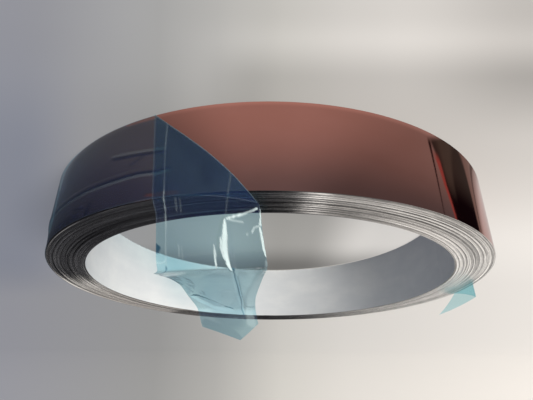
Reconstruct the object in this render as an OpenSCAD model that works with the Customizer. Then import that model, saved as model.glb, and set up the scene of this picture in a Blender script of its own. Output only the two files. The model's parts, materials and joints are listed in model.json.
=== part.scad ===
// Roll of flat aluminium strip, lying on one end, with its protective film
// peeled back from part of the outer turn and standing over the bore.

/* [Strip] */
// Width of the strip, which is the height of the roll as it lies
strip_width = 70; // [30:5:130]
// Thickness of the aluminium
strip_thickness = 0.8; // [0.5:0.1:1.5]
// Clear diameter of the bore
bore_diameter = 380; // [300:10:500]
// Number of turns wound round the bore
turns = 40; // [10:1:60]
// Furthest that a turn stands proud of its neighbours at the ends
telescoping = 1.2; // [0:0.1:2]
// Angle round the roll, from the front, of the strip's free end
strip_end_angle = 269; // [200:1:300]
// Clearance that the cutter of the outer turn's run-out leaves beyond the roll
run_out = 0.3; // [0.2:0.1:1]

/* [Protective film] */
// Real thickness of the film between two turns
film_thickness = 0.06; // [0.04:0.01:0.15]
// Thickness of the film solid, which is made stouter than the real film
film_solid = 0.4; // [0.3:0.1:0.8]
// Clearance between the film and the outer turn
film_clearance = 0.15; // [0.1:0.05:0.3]
// Inset of the film from each edge of the strip
film_inset = 0.8; // [0.8:0.1:3]
// Angle round the roll, from the front, of the middle of the peel fold
peel_angle = 12; // [0:1:40]
// Rise of the fold's top corner above the film's own top edge
fold_rise = 9; // [0:1:12]
// Angle round the roll, from the front, at which the film ends
film_end_angle = 268; // [200:1:300]
// Length of the film's loose end, which stands off the roll
loose_end = 40; // [25:5:80]
// How far the loose end stands out from the outer turn
loose_end_out = 4; // [2:1:12]
// How far the loose end's top corner has climbed where it is folded back
loose_climb = 12; // [4:1:20]
// Length of the pointed end that is folded back along the rim
point_length = 74; // [30:1:100]
// Height of the point's tip above the folded corner
point_rise = 6; // [0:1:15]

/* [Peeled flap] */
// Height of the flap's crest above the upper rim
crest_height = 45; // [30:1:70]
// Distance from the near rim to the place where the flap turns up again
flap_span = 285; // [150:5:340]
// Height above the upper rim of the flap's lowest place over the bore
flap_dip = 18; // [5:1:30]
// Height of the upturned tip above that lowest place
tip_height = 34; // [10:1:50]
// Drift of the flap to the right as it crosses the bore
flap_drift = 14; // [0:1:30]
// Distance of the pointed tip from the flap's middle line
tip_offset = 7; // [0:1:20]
// Steepness of the slanting cut on the tip's longer side
long_cut = 0.38; // [0.2:0.01:0.8]
// Steepness of the slanting cut on the tip's shorter side
short_cut = 0.75; // [0.2:0.01:0.9]

/* [Hidden] */
turn_pitch = strip_thickness + film_thickness;
bore_radius = bore_diameter / 2;
outer_radius = bore_radius + turns * turn_pitch;

// Some turns have slipped along the axis.  The first turn, the last turn and
// every fourth one are flush.  The others follow a mean and two waves, given
// as a share of the telescoping, degrees for each turn, and degrees at the start.
flush_every = 4;
slip_mean = 0.5;
slip_waves = [[0.32, 97, 0], [0.18, 211, 40]];
function wave(w, i) = w[0] * sin(w[1] * i + w[2]);
function slip(i) =
    i == 0 || i == turns - 1 || i % flush_every == 1 ? 0
    : telescoping * (slip_mean + wave(slip_waves[0], i) + wave(slip_waves[1], i));

// The profile runs out along the upper end and back along the lower end.
upper_profile = [
    for (i = [0 : turns - 1], edge = [0, 1])
        [bore_radius + (i + edge) * turn_pitch, strip_width + slip(i)]
];
lower_profile = [
    for (i = [turns - 1 : -1 : 0], edge = [1, 0])
        [bore_radius + (i + edge) * turn_pitch, slip(i)]
];

// Behind the strip's free end the outer turn hasn't begun, so the roll is one
// thickness of strip thinner there.  The surface runs out to the full radius
// again along a circle whose centre is a little off the bore's.
run_out_shift = (strip_thickness + run_out) / 2;
run_out_radius = outer_radius + (run_out - strip_thickness) / 2;
coil_facets = 180;
module behind_strip_end() {
    margin = 2 * telescoping + 1;
    reach = outer_radius + margin;
    translate([0, 0, -margin])
        linear_extrude(strip_width + 2 * margin)
            difference() {
                rotate(strip_end_angle - 90)
                    translate([-reach, -reach])
                        square([2 * reach, reach]);
                rotate(strip_end_angle + 90)
                    translate([run_out_shift, 0])
                        circle(run_out_radius, $fn = coil_facets);
            }
}

// The whole winding is one turned solid, and each turn is a step on both ends.
module strip_coil() {
    color("silver")
        difference() {
            rotate_extrude($fn = coil_facets)
                polygon(concat(upper_profile, lower_profile));
            behind_strip_end();
        }
}

// The film is one sheet.  Fibres run along it.  They start at its pointed end,
// which is folded back over the film at the left, and go round the back and the
// right of the roll to the peel fold, and then up the flap.
fibres = 9;
point_rows = 10;
wrap_rows = 84;
flap_rows = 44;
film_width = strip_width - 2 * film_inset;
fold_radius = film_solid;
wrap_radius = outer_radius + film_clearance + film_solid / 2;
// The film follows the run-out of the outer turn where it lies over it.
function film_seat(arc) =
    wrap_radius + min(0, run_out_radius - outer_radius
        - run_out_shift * cos(strip_end_angle - degrees(arc)));
flap_radius = wrap_radius + 2 * fold_radius;
fold_middle = peel_angle * PI / 180 * outer_radius;
wrap_end = film_end_angle * PI / 180 * outer_radius;
// Length over which the wrapped film rises to the fold's top corner
fold_reach = strip_width;

function degrees(arc) = arc / outer_radius * 180 / PI;
function outward(arc) = [sin(degrees(arc)), -cos(degrees(arc)), 0];
function along(arc) = [cos(degrees(arc)), sin(degrees(arc)), 0];
function on_roll(radius, arc, z) = radius * outward(arc) + [0, 0, z];
function smooth(x) = let (t = min(1, max(0, x))) t * t * (3 - 2 * t);

// Place of each fibre, from the lower edge of the film to the upper one
function share(k) = k / (fibres - 1);
function fibre_height(k) = film_inset + film_width * share(k);
function fold_height(k) = fibre_height(k) + fold_rise * share(k);
function fold_arc(k) = fold_middle + fold_height((fibres - 1) / 2) - fold_height(k);

// Wrapped part: row 0 is the fold of the loose end and the last row is the peel
// fold.  The loose end stands off the roll and climbs towards its own fold.
loose_rows = 12;
corner_power = 3;
fade_power = 1.5;
function wrap_arc(row, k) =
    row < loose_rows ? wrap_end - loose_end * row / loose_rows
    : let (start = wrap_end - loose_end)
        start + (fold_arc(k) - start) * (row - loose_rows) / (wrap_rows - loose_rows);
function corner_climb(k) = loose_climb * share(k) ^ corner_power;
function wrap_point(row, k) =
    let (
        arc = wrap_arc(row, k),
        near_fold = max(0, 1 - (arc - fold_arc(k)) / fold_reach) ^ 2,
        loose = max(0, 1 - (wrap_end - arc) / loose_end),
        z = fibre_height(k) + fold_rise * share(k) * near_fold
            + corner_climb(k) * loose ^ fade_power
    )
        on_roll(film_seat(arc) + loose_end_out * smooth(loose) * share(k), arc, z);

// The pointed end lies outside the film that it is folded back over.  Row 0 is
// its slanting edge, which leaves the lower fibres short, and the last row
// meets the fold.
point_stub = 5;
point_power = 3.5;
function point_reach(k) = max(point_stub, point_length * share(k) ^ point_power);
function point_back(row, k) = point_reach(k) * (1 - row / point_rows);
function point_place(row, k) =
    let (
        back = point_back(row, k),
        arc = wrap_end - back,
        radius = film_seat(arc) + loose_end_out * share(k) + 2 * fold_radius
    )
        on_roll(radius, arc,
                fibre_height(k) + corner_climb(k) + point_rise * back / point_length);
function point_fold(k) =
    on_roll(film_seat(wrap_end) + loose_end_out * share(k) + fold_radius, wrap_end,
            fibre_height(k) + corner_climb(k))
    + fold_radius * along(wrap_end);

// The peel fold: a half turn about the slanting line.
function fold_out(k) = (along(fold_arc(k)) + [0, 0, 1]) / sqrt(2);
function fold_point(k) =
    on_roll(wrap_radius + fold_radius, fold_arc(k), fold_height(k))
    - fold_radius * fold_out(k);

// Middle line of the flap above the rim, measured from the rim.
rim_arc = fold_arc(fibres - 1) + film_width / 2;
over_bore = flap_dip - crest_height;
middle_line = [
    [1.5, -6, -14],
    [0, 0, 0],
    [-2, 5, crest_height * 0.25],
    [-4, 8, crest_height * 0.6],
    [-6, 9, crest_height * 0.88],
    [-7, 12, crest_height],
    [-6.6, 20, crest_height * 0.985],
    [-5.5, 40, crest_height + over_bore * 0.22],
    [flap_drift * 0.1 - 3, flap_span * 0.33, crest_height + over_bore * 0.57],
    [flap_drift * 0.42, flap_span * 0.66, crest_height + over_bore * 0.88],
    [flap_drift * 0.6, flap_span * 0.9, crest_height + over_bore],
    [flap_drift * 0.6, flap_span * 0.985, flap_dip + tip_height * 0.06],
    [flap_drift * 0.4, flap_span * 1.01, flap_dip + tip_height * 0.4],
    [flap_drift * 0.1, flap_span * 1.012, flap_dip + tip_height * 0.72],
    [-1, flap_span * 1.01, flap_dip + tip_height],
    [-2, flap_span, flap_dip + tip_height * 1.3]
];
function curve(p, i, t) =
    let (a = p[i], b = p[i + 1], c = p[i + 2], d = p[i + 3])
        (2 * b + (c - a) * t + (2 * a - 5 * b + 4 * c - d) * t * t
         + (3 * b - a - 3 * c + d) * t * t * t) / 2;
spans = len(middle_line) - 3;
steps = 8;
track = [for (j = [0 : spans * steps]) let (i = min(floor(j / steps), spans - 1))
    curve(middle_line, i, j / steps - i)];
function running(list, j = 1, sum = 0, out = [0]) =
    j == len(list) ? out
    : let (s = sum + norm(list[j] - list[j - 1])) running(list, j + 1, s, concat(out, [s]));
track_length = running(track);
track_tables = [for (axis = [0 : 2])
    [for (j = [0 : len(track) - 1]) [track_length[j], track[j][axis]]]];
function track_at(s) = [for (table = track_tables) lookup(s, table)];
flap_length = strip_width + track_length[len(track) - 1];

// Flap: row 0 is the fold and the last row is the slanting end.
lean = fold_rise / (film_width + fold_rise);
// Direction of the flap's width over the bore, and the length in which the
// flap turns to that direction from the rim's own.
flap_heading = -3;
turning_length = 4 * crest_height;
function side_of_middle(k) = film_width * (0.5 - share(k));
function flap_end(k) =
    let (c = side_of_middle(k) + tip_offset)
        flap_length - (c > 0 ? long_cut * c : -short_cut * c);
function flap_reach(row, k) =
    fold_height(k) + (flap_end(k) - fold_height(k)) * row / flap_rows;
function flap_arc(h, k) =
    rim_arc + side_of_middle(k)
    + lean * max(0, fold_height(fibres - 1) - max(h, fold_height(k)));
function flap_turn(free) =
    let (start = degrees(rim_arc))
        start + (flap_heading - start) * smooth(free / turning_length);
function flap_at(h, k) =
    let (
        free = max(0, h - strip_width),
        arc = flap_arc(h, k),
        turn = flap_turn(free),
        curved = on_roll(flap_radius, arc, min(h, strip_width)),
        flat = on_roll(flap_radius, rim_arc, strip_width)
            + (arc - rim_arc) * [cos(turn), sin(turn), 0],
        flatness = smooth(free / crest_height)
    )
        (1 - flatness) * curved + flatness * flat + track_at(free);
function flap_point(row, k) = flap_at(flap_reach(row, k), k);
function unit(v) = v / norm(v);
function flap_normal(row, k) =
    let (
        h = flap_reach(row, k),
        up = flap_at(h + 1, k) - flap_at(h - 1, k),
        free = max(0, h - strip_width),
        turn = free > 0 ? flap_turn(free) : degrees(flap_arc(h, k))
    )
        unit(cross([cos(turn), sin(turn), 0], up));

// Every row holds a middle point and an outward direction for each fibre.
film_rows = concat(
    [for (row = [0 : point_rows]) [for (k = [0 : fibres - 1])
        [point_place(row, k), outward(wrap_end - point_back(row, k))]]],
    [[for (k = [0 : fibres - 1]) [point_fold(k), along(wrap_end)]]],
    [for (row = [0 : wrap_rows]) [for (k = [0 : fibres - 1])
        [wrap_point(row, k), -outward(wrap_arc(row, k))]]],
    [[for (k = [0 : fibres - 1]) [fold_point(k), -fold_out(k)]]],
    [for (row = [0 : flap_rows]) [for (k = [0 : fibres - 1])
        [flap_point(row, k), flap_normal(row, k)]]]
);

// A sheet with thickness: two skins of the same grid, joined round the border.
module sheet(rows, thickness) {
    n = len(rows);
    m = len(rows[0]);
    outer_skin = [for (r = rows, q = r) q[0] + q[1] * thickness / 2];
    inner_skin = [for (r = rows, q = r) q[0] - q[1] * thickness / 2];
    function id(i, j) = i * m + j;
    size = n * m;
    faces = concat(
        [for (i = [0 : n - 2], j = [0 : m - 2], half = [0, 1])
            half == 0 ? [id(i, j), id(i, j + 1), id(i + 1, j)]
            : [id(i, j + 1), id(i + 1, j + 1), id(i + 1, j)]],
        [for (i = [0 : n - 2], j = [0 : m - 2], half = [0, 1])
            half == 0 ? [size + id(i, j), size + id(i + 1, j), size + id(i, j + 1)]
            : [size + id(i, j + 1), size + id(i + 1, j), size + id(i + 1, j + 1)]],
        [for (i = [0 : n - 2], j = [0, m - 1], half = [0, 1])
            let (a = id(i, j), b = id(i + 1, j), flip = j == 0)
                half == 0 ? (flip ? [a, b, size + a] : [b, a, size + a])
                : (flip ? [b, size + b, size + a] : [size + b, b, size + a])],
        [for (j = [0 : m - 2], i = [0, n - 1], half = [0, 1])
            let (a = id(i, j), b = id(i, j + 1), flip = i == 0)
                half == 0 ? (flip ? [b, a, size + a] : [a, b, size + a])
                : (flip ? [size + b, b, size + a] : [b, size + b, size + a])]
    );
    polyhedron(points = concat(outer_skin, inner_skin), faces = faces);
}

module protective_film() {
    color([0.35, 0.55, 0.62])
        sheet(film_rows, film_solid);
}

strip_coil();
protective_film();
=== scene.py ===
# %% [markdown]
# # A roll of aluminium strip
# The real object is a long flat strip of aluminium, wound forty times round an open bore.
# Its outer face has a bright rose-brown coat, and a clear blue film protects that coat.
# Somebody has peeled the film from part of the outer turn, folded it up and let it lie
# over the bore. The construction is loaded first and stays fixed, and every piece that is
# made here takes its place and size from it. Left and right in these notes are those of
# somebody who stands upright in front of the roll.

# %% Load the construction
import json
import math

import bmesh
import bpy
from mathutils import Matrix, Vector, noise


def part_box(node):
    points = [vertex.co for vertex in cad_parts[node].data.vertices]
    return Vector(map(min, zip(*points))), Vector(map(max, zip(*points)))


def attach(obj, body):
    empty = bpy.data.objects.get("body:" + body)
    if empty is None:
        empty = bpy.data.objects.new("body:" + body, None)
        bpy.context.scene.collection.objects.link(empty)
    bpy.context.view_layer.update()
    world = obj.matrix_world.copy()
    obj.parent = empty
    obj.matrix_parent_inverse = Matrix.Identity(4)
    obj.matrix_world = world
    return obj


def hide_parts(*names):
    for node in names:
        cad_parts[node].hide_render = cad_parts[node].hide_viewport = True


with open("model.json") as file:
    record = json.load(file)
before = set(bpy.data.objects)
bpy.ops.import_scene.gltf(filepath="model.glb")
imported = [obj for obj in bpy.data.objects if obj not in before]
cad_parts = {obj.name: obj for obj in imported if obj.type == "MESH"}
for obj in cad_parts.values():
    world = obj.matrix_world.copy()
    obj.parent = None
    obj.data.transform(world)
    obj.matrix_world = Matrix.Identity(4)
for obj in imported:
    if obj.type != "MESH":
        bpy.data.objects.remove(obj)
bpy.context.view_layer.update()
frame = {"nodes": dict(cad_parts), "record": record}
coil_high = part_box("strip_coil")[1]
bore = next(mount for mount in frame["record"]["mounts"] if mount["name"] == "bore")
print("construction:", sorted(frame["nodes"]))

# %% [markdown]
# ## Sizes
# Everything below is worked out in millimetres, as the workshop would, and becomes metres
# only when it is put into a mesh. The bore and the outer radius are read from the
# construction. The pitch of the turns is the strip's thickness and the film's together.

# %% Sizes of the roll
MM = 0.001
STRIP_WIDTH = bore["dims"]["length_mm"]
BORE_RADIUS = bore["dims"]["r_mm"]
OUTER_RADIUS = coil_high.x / MM
STRIP_THICKNESS = 0.8
TURNS = 40
PITCH = (OUTER_RADIUS - BORE_RADIUS) / TURNS
TELESCOPING = 1.2
STRIP_END = math.radians(269)
RUN_OUT = 0.3
print("outer radius", round(OUTER_RADIUS, 2), "pitch", round(PITCH, 3), "mm")

# %% [markdown]
# The camera, the lamp, the floor and both pieces are put into the scene in the same way.


# %% Put an object into the scene
def new_object(name, data):
    made = bpy.data.objects.new(name, data)
    bpy.context.scene.collection.objects.link(made)
    return made


# %% [markdown]
# ## Camera
# The photograph shows the roll upside down, so the camera is turned half round about its
# own axis. It looks down at the roll by about 26 degrees from 0.5 m away. A camera could
# be placed by eye, but the roll's rims are true circles, so these values come from fitting
# the two rims and the lower edge of the roll to the picture.

# %% Camera
CAMERA_PLACE = Vector((0, -458.9, 189.9)) * MM
LOOK_DOWN = math.radians(25.8)
HEADING = math.radians(0.5)
ROLL = math.radians(180.5)
PICTURE_WIDTH = 533
FOCAL_PIXELS = 421.1
SENSOR = 36


def make_camera():
    data = bpy.data.cameras.new("camera")
    data.sensor_width = SENSOR
    data.lens = FOCAL_PIXELS / PICTURE_WIDTH * SENSOR
    data.clip_start = 0.01
    camera = new_object("camera", data)
    turn = Matrix.Rotation(-HEADING, 4, "Z")
    tilt = Matrix.Rotation(math.pi / 2 - LOOK_DOWN, 4, "X")
    roll = Matrix.Rotation(ROLL, 4, "Z")
    camera.matrix_world = Matrix.Translation(CAMERA_PLACE) @ turn @ tilt @ roll
    bpy.context.scene.camera = camera
    return camera


camera = make_camera()
print("camera lens", round(camera.data.lens, 2), "mm")

# %% [markdown]
# ## Arithmetic on shader sockets
# A node tree is easier to read as an expression. This class wraps one output, and
# arithmetic on it adds the Math nodes. Any other node is added with node(), which sets
# the node's own settings first and then its inputs. Nodes that come back often have a
# method of their own.


# %% Shader expressions
class Flow:
    """One output in a node tree."""

    def __init__(self, tree, socket=None):
        self.tree = tree
        self.socket = socket

    def node(self, kind, settings=None, inputs=None, output=0):
        made = self.tree.nodes.new(kind)
        for name, value in (settings or {}).items():
            if name == "stops":
                self._stops(made.color_ramp, value)
            else:
                setattr(made, name, value)
        for name, value in (inputs or {}).items():
            if isinstance(value, Flow):
                self.tree.links.new(value.socket, made.inputs[name])
            else:
                made.inputs[name].default_value = value
        return Flow(self.tree, made.outputs[output])

    def _stops(self, ramp, stops):
        """A new ramp has two stops: the second goes, and the first takes the first place."""
        ramp.elements.remove(ramp.elements[1])
        ramp.elements[0].position = stops[0][0]
        ramp.elements[0].color = stops[0][1]
        for place, colour in stops[1:]:
            ramp.elements.new(place).color = colour

    def math(self, operation, *values):
        return self.node("ShaderNodeMath", {"operation": operation}, dict(enumerate(values)))

    def __add__(self, other):
        return self.math("ADD", self, other)

    def __sub__(self, other):
        return self.math("SUBTRACT", self, other)

    def __rsub__(self, other):
        return self.math("SUBTRACT", other, self)

    def __mul__(self, other):
        return self.math("MULTIPLY", self, other)

    def __truediv__(self, other):
        return self.math("DIVIDE", self, other)

    def __pow__(self, other):
        return self.math("POWER", self, other)

    __radd__ = __add__
    __rmul__ = __mul__

    def ease(self, low, high, start=0.0, end=1.0):
        """From start to end, smoothly, as the value goes from low to high."""
        inputs = {"Value": self, 1: low, 2: high, 3: start, 4: end}
        return self.node("ShaderNodeMapRange", {"interpolation_type": "SMOOTHSTEP"}, inputs)

    def noise(self, vector, scale, detail=2.0, rough=0.5):
        inputs = {"Vector": vector, "Scale": scale, "Detail": detail, "Roughness": rough}
        return self.node("ShaderNodeTexNoise", None, inputs)

    def blend(self, first, second):
        """The colour between first and second, with this value as the share of second."""
        inputs = {0: self, 6: first, 7: second}
        return self.node("ShaderNodeMix", {"data_type": "RGBA"}, inputs, output=2)

    def scaled(self, factor):
        """This colour, with each of its parts times the factor."""
        inputs = {0: self, 3: factor}
        return self.node("ShaderNodeVectorMath", {"operation": "SCALE"}, inputs)

    def bump(self, height, strength, distance):
        """A normal that is tilted as the height, a Flow, rises and falls."""
        inputs = {"Height": height, "Strength": strength, "Distance": distance}
        return self.node("ShaderNodeBump", None, inputs)

    def metal(self, colour, rough, normal, more=None):
        """A Principled shader, fully metallic unless more says otherwise."""
        inputs = {"Base Color": colour, "Metallic": 1.0, "Roughness": rough, "Normal": normal}
        return self.node("ShaderNodeBsdfPrincipled", None, {**inputs, **(more or {})})

    def mix_shaders(self, share, first, second):
        return self.node("ShaderNodeMixShader", None, {0: share, 1: first, 2: second})

    def object_place(self):
        """The place on the object, in metres."""
        return self.node("ShaderNodeTexCoord", output=3)

    def camera_ray(self):
        """One where the camera looks straight at the surface."""
        return self.node("ShaderNodeLightPath")

    def mirror_ray(self):
        """One where the surface is seen as a mirror image."""
        return self.node("ShaderNodeLightPath", output=3)

    def combine(self, x, y, z):
        return self.node("ShaderNodeCombineXYZ", None, {0: x, 1: y, 2: z})

    def axis(self, index):
        return self.node("ShaderNodeSeparateXYZ", None, {0: self}, output=index)


def new_material(name):
    """An empty material, its tree as a Flow, and its output node."""
    material = bpy.data.materials.new(name)
    material.use_nodes = True
    material.node_tree.nodes.clear()
    output = material.node_tree.nodes.new("ShaderNodeOutputMaterial")
    return material, Flow(material.node_tree), output


def finish_material(material, flow, output, surface):
    flow.tree.links.new(surface.socket, output.inputs["Surface"])
    print("material", material.name, "has", len(flow.tree.nodes), "nodes")
    return material


# %% [markdown]
# ## Floor, backdrop and light
# The floor is a pale sheet that curves up behind the roll, so no horizon shows. Two flat
# planes would meet in a hard line, so one line is spun round the cove and then swept
# sideways.

# %% Floor and backdrop
FLOOR_HALF_WIDTH = 6.0
FLOOR_FRONT = -6.0
COVE_START = 1.3
COVE_RADIUS = 0.5
COVE_TOP = 0.6
COVE_STEPS = 16
FLOOR_DROP = 0.0002


def make_floor():
    mesh = bmesh.new()
    corner = COVE_START + COVE_RADIUS
    first = mesh.verts.new((0, FLOOR_FRONT, -FLOOR_DROP))
    last = mesh.verts.new((0, COVE_START, -FLOOR_DROP))
    mesh.edges.new((first, last))
    centre = (0, COVE_START, COVE_RADIUS - FLOOR_DROP)
    cove = bmesh.ops.spin(
        mesh, geom=[last], cent=centre, axis=(1, 0, 0), dvec=(0, 0, 0),
        angle=math.pi / 2, steps=COVE_STEPS, use_merge=False, use_duplicate=False,
    )
    top = [v for v in cove["geom_last"] if isinstance(v, bmesh.types.BMVert)][0]
    mesh.edges.new((top, mesh.verts.new((0, corner, COVE_TOP))))
    bmesh.ops.translate(mesh, verts=mesh.verts, vec=(-FLOOR_HALF_WIDTH, 0, 0))
    swept = bmesh.ops.extrude_edge_only(mesh, edges=mesh.edges)
    moved = [v for v in swept["geom"] if isinstance(v, bmesh.types.BMVert)]
    bmesh.ops.translate(mesh, verts=moved, vec=(2 * FLOOR_HALF_WIDTH, 0, 0))
    bmesh.ops.recalc_face_normals(mesh, faces=mesh.faces)
    data = bpy.data.meshes.new("floor")
    mesh.to_mesh(data)
    mesh.free()
    floor = new_object("floor", data)
    for face in data.polygons:
        face.use_smooth = True
    return floor


floor = make_floor()
print("floor has", len(floor.data.polygons), "faces")

# %% [markdown]
# The background goes from a cool grey on one side to a warm white on the other, as a floor
# beside a window does, and the floor carries this as painted light in its colour. The colour
# follows a fan that opens from a point in front of the roll. Inside the bore the floor has
# painted shade, and it is darkest at the foot of the far wall.

# %% Colours that the camera sees on the floor
# Painted shadow of the roll on the floor at its right.
SHADOW_BESIDE_ROLL = (0.222, 0.236, 0.285, 1)
OUT_OF_PICTURE = (0.60, 0.585, 0.57, 1)
FAN_POINT = 0.551
FAN_SLOPE = 0.9
FAN_REACH = 0.7
PLAIN_LEVEL = 0.99
ROLL_SHADE = 0.27
ROLL_SHADE_LOST = 0.30
NEAREST_GLOW = 0.20
NEAR_LEFT_SHADE = 0.28
FRONT_SHADE = 0.10
BEHIND_SHADE = 0.06
BORE_SHADE = 0.42
WALL_SHADE = 0.5
# Painted window light: warm white at the left, falling to cool grey at the right.
FLOOR_STOPS = [
    (0.06, (0.84, 0.80, 0.76, 1)),
    (0.37, (0.69, 0.665, 0.635, 1)),
    (0.48, (0.60, 0.585, 0.555, 1)),
    (0.59, (0.40, 0.395, 0.385, 1)),
    (0.69, (0.31, 0.31, 0.31, 1)),
    (0.94, (0.285, 0.29, 0.325, 1)),
]
print("the floor has", len(FLOOR_STOPS), "colours across the picture")


def floor_colour(flow, x, y, inside):
    fan = x / (flow.math("MAXIMUM", y + FAN_POINT, 0.2) * FAN_SLOPE)
    shade = (fan + FAN_REACH) / (2 * FAN_REACH)
    colour = flow.node("ShaderNodeValToRGB", {"stops": FLOOR_STOPS}, {0: shade})
    # Each of these is one in its own part of the floor, and fades to nothing outside it.
    before_roll = y.ease(-0.285, -0.245) * y.ease(0.06, -0.20)
    nearest = y.ease(-0.20, -0.30) * shade.ease(0.48, 0.60) * shade.ease(0.92, 0.70)
    near_left = shade.ease(0.30, 0.04) * y.ease(-0.17, -0.27)
    front_edge = shade.ease(0.75, 0.55) * y.ease(-0.275, -0.30)
    behind_roll = y.ease(0.05, 0.3) + y.ease(1.2, 1.6)
    # Painted shadow of the roll, darker and bluer, on the floor at its right.
    shadow_beside_roll = shade.ease(0.80, 0.93) * y.ease(-0.32, -0.16) * y.ease(0.42, 0.12)
    # The roll keeps light off the floor before it, but less so at the right.
    roll_shade = ROLL_SHADE - ROLL_SHADE_LOST * shade.ease(0.52, 0.64)
    level = PLAIN_LEVEL - before_roll * roll_shade + nearest * NEAREST_GLOW
    level = level - near_left * NEAR_LEFT_SHADE - front_edge * FRONT_SHADE
    level = level - behind_roll * BEHIND_SHADE
    colour = shadow_beside_roll.blend(colour, SHADOW_BESIDE_ROLL)
    # Painted shade inside the bore, darkest towards the foot of the far wall.
    across = 1 - x.ease(-0.125, -0.05) * x.ease(0.07, -0.02) * BORE_SHADE
    toward_wall = 1 - y.ease(0.06, 0.17) * WALL_SHADE
    colour = colour.scaled(level * (1 - inside * (1 - across * toward_wall)))
    aside = flow.math("ABSOLUTE", x).ease(1.6, 2.4)
    outside = flow.math("MAXIMUM", aside, y.ease(-0.33, -0.6))
    return outside.blend(colour, OUT_OF_PICTURE)


# %% [markdown]
# A bright coat mirrors the floor that lies out of the picture as well, and there the photo
# shows darker things: a thin dark line, a red line and a dark wedge, with a paler floor
# beyond them. They are painted on the floor with straight edges, and only mirror rays see
# them, as a photographer's black flag is kept out of a picture.

# %% Colours that the coat mirrors
MIRROR_NEAR = (0.46, 0.43, 0.41, 1)
MIRROR_FAR = (0.185, 0.215, 0.235, 1)
MIRROR_RIGHT = (0.205, 0.20, 0.20, 1)
MIRROR_SIDE = (0.135, 0.135, 0.17, 1)
MIRROR_BACK_DARK = (0.12, 0.12, 0.13, 1)
MIRROR_BACK_BRIGHT = (1.0, 0.97, 0.92, 1)
THIN_LINE = (0.03, 0.02, 0.02, 1)
RED_LINE = (0.34, 0.10, 0.09, 1)
WEDGE_BROWN = (0.045, 0.045, 0.040, 1)
WEDGE_STREAK = (0.075, 0.080, 0.068, 1)
WEDGE_BLACK = (0.006, 0.003, 0.005, 1)
BEYOND_NEAR = (0.21, 0.17, 0.15, 1)
BEYOND_FAR = (0.58, 0.53, 0.51, 1)

# %% [markdown]
# Each line is given by its ends in millimetres, and a shader works out how far a place lies
# to one side of it. An image could hold the same picture, but a formula stays sharp.

# %% Lines that the coat mirrors
CONTACT_GLOW = 0.3
LEFT_SHADE = 0.40
RIGHT_SHADE = 0.7
THIN_HALF_WIDTH = 1.6
RED_HALF_WIDTH = 3.4
SOFT_EDGE = 1.5
THIN_ENDS = ((-283, -186), (-133, -189))
RED_ENDS = ((-294, -156), (-220, -174), (-160, -184))
WEDGE_ENDS = ((-333, -54), (-161, -158))
print("the red line is", 2 * RED_HALF_WIDTH, "mm wide on the floor")


def beside(x, y, ends):
    """How far, in millimetres, a place lies to the left of the line between two ends."""
    first, last = (Vector(end) for end in ends)
    run = last - first
    normal = Vector((-run.y, run.x)).normalized()
    return x * (normal.x / MM) + y * (normal.y / MM) - normal.dot(first)


def band(distance, half_width):
    """One on a line, and nothing at half_width from it and further."""
    before = distance.ease(-half_width, -half_width / 3)
    return before * distance.ease(half_width, half_width / 3)


def mirrored_colour(flow, x, y, radius):
    near = radius.ease(0.234, 0.36).blend(MIRROR_NEAR, MIRROR_FAR)
    near = x.ease(0.025, 0.11).blend(near, MIRROR_RIGHT)
    near = x.ease(0.10, 0.22).blend(near, MIRROR_SIDE)
    level = 1 + CONTACT_GLOW * radius.ease(0.230, 0.225)
    level = level - LEFT_SHADE * x.ease(-0.02, -0.14) - RIGHT_SHADE * x.ease(0.12, 0.36)
    near = near.scaled(level)
    near = y.ease(0.05, 0.30).blend(near, OUT_OF_PICTURE)
    near = y.ease(-0.45, -0.9).blend(near, OUT_OF_PICTURE)
    behind = (x / y).ease(0.0, -0.36).blend(MIRROR_BACK_DARK, MIRROR_BACK_BRIGHT)
    colour = y.ease(0.5, 1.0).blend(near, behind)
    side = x.ease(-0.125, -0.14) * radius.ease(0.6, 0.45)
    red_first = beside(x, y, RED_ENDS[:2])
    red_second = beside(x, y, RED_ENDS[1:])
    past_red = flow.math("MINIMUM", red_first, red_second)
    past_wedge = beside(x, y, WEDGE_ENDS)
    beyond = past_wedge.ease(2, 30).blend(BEYOND_NEAR, BEYOND_FAR)
    beyond = (band(past_wedge - 9, 2.5) * 0.6).blend(beyond, THIN_LINE)
    streak = band(past_red - 11, 9) * radius.ease(0.31, 0.25)
    wedge = radius.ease(0.24, 0.30).blend(WEDGE_BROWN, WEDGE_BLACK)
    wedge = streak.blend(wedge, WEDGE_STREAK)
    marked = band(beside(x, y, THIN_ENDS), THIN_HALF_WIDTH).blend(colour, THIN_LINE)
    marked = past_red.ease(-SOFT_EDGE, SOFT_EDGE).blend(marked, wedge)
    red = band(past_red, RED_HALF_WIDTH) * radius.ease(0.238, 0.252)
    marked = red.blend(marked, RED_LINE)
    marked = past_wedge.ease(-SOFT_EDGE, SOFT_EDGE).blend(marked, beyond)
    return side.blend(colour, marked)


# %% [markdown]
# The floor is lit as any surface is, and so it keeps the roll's shadow. To the camera and
# to mirror rays part of its colour is its own light. More light from the lamps would make
# it pale as well, but would also bleach the roll.

# %% Floor material
CAMERA_OWN_LIGHT = 0.65
BORE_OWN_LIGHT = 0.25
MIRROR_OWN_LIGHT = 0.85


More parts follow.
